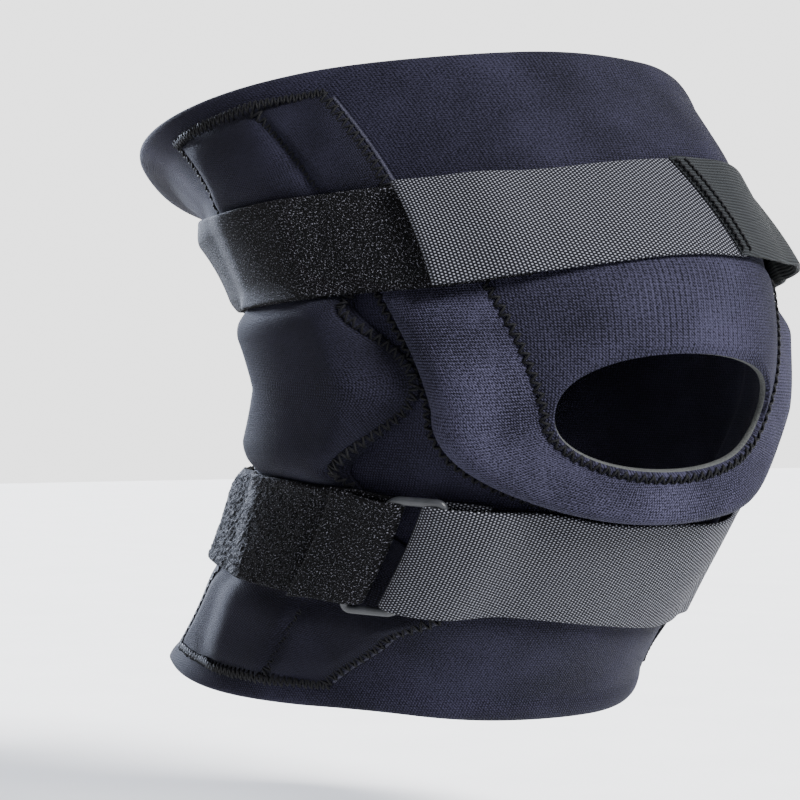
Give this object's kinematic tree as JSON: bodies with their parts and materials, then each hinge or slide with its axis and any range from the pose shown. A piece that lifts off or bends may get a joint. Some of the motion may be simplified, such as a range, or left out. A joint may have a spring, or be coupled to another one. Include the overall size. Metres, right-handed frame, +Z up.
{
  "type": "knee brace",
  "caption": "Hinged knee sleeve with side hinges in cloth pockets, an open kneecap with a padded horseshoe, and two hook-and-loop straps through rings.",
  "frame": {"origin": "middle of the knee, on the hinge axis", "axes": "+X to the inner (medial) side, -Y to the front where the kneecap is, +Z up the leg"},
  "size_m": [0.229, 0.2575, 0.2308],
  "materials": {
    "neoprene": "nylon jersey on neoprene foam",
    "knee_knit": "ribbed stretch knit over the kneecap",
    "buttress_cloth": "padded nylon jersey",
    "hem_cloth": "turned jersey hem",
    "pocket_cloth": "soft brushed jersey",
    "loop_pile": "loop pile of a hook-and-loop strap",
    "elastic_webbing": "woven elastic",
    "ribbed_webbing": "ribbed elastic webbing",
    "ring_plastic": "moulded plastic",
    "hinge_steel": "brushed",
    "washer_plastic": "natural nylon"
  },
  "bodies": {
    "thigh": {"thigh_front_panel": "neoprene", "thigh_lateral_panel": "neoprene", "thigh_medial_panel": "neoprene", "thigh_back_panel": "neoprene", "thigh_hem": "hem_cloth", "knee_front_panel": "knee_knit", "patella_buttress": "buttress_cloth", "knee_lateral_panel": "neoprene", "knee_medial_panel": "neoprene", "popliteal_panel": "neoprene", "thigh_strap_loop_band": "loop_pile", "thigh_strap_fold": "loop_pile", "thigh_ring": "ring_plastic", "thigh_strap_webbing": "ribbed_webbing", "thigh_strap_elastic": "elastic_webbing", "thigh_hinge_pocket_lateral": "pocket_cloth", "knee_hinge_pocket_lateral": "pocket_cloth", "upper_arm_lateral": "hinge_steel", "pivot_rivet_lateral": "hinge_steel", "pivot_washer_lateral": "washer_plastic", "thigh_hinge_pocket_medial": "pocket_cloth", "knee_hinge_pocket_medial": "pocket_cloth", "upper_arm_medial": "hinge_steel", "pivot_rivet_medial": "hinge_steel", "pivot_washer_medial": "washer_plastic"},
    "calf": {"calf_front_panel": "neoprene", "calf_lateral_panel": "neoprene", "calf_medial_panel": "neoprene", "calf_back_panel": "neoprene", "calf_hem": "hem_cloth", "calf_strap_loop_band": "loop_pile", "calf_strap_fold": "loop_pile", "calf_ring": "ring_plastic", "calf_strap_elastic": "elastic_webbing", "calf_hinge_pocket_lateral": "pocket_cloth", "lower_arm_lateral": "hinge_steel", "stop_pin_lateral": "hinge_steel", "calf_hinge_pocket_medial": "pocket_cloth", "lower_arm_medial": "hinge_steel", "stop_pin_medial": "hinge_steel"},
    "thigh_strap_tab": {"thigh_strap_tab": "elastic_webbing"},
    "calf_strap_tab": {"calf_strap_tab": "elastic_webbing"}
  },
  "joints": [
    {"name": "knee_flexion", "type": "hinge", "parent": "thigh", "child": "calf", "pos_m": [0, 0, 0], "axis": [1, 0, 0], "range_deg": [-45, 25], "deforming": ["knee_front_panel", "patella_buttress", "knee_lateral_panel", "knee_medial_panel", "popliteal_panel", "knee_hinge_pocket_lateral", "knee_hinge_pocket_medial"]},
    {"name": "thigh_tab_peel", "type": "hinge", "parent": "thigh", "child": "thigh_strap_tab", "pos_m": [-0.03746, -0.07531, 0.05525], "axis": [-0.0425, 0.4954, 0.8676], "range_deg": [0, 60]},
    {"name": "calf_tab_peel", "type": "hinge", "parent": "calf", "child": "calf_strap_tab", "pos_m": [0.0709, -0.02417, -0.06496], "axis": [-0.0192, 0.6489, -0.7606], "range_deg": [0, 60]}
  ]
}
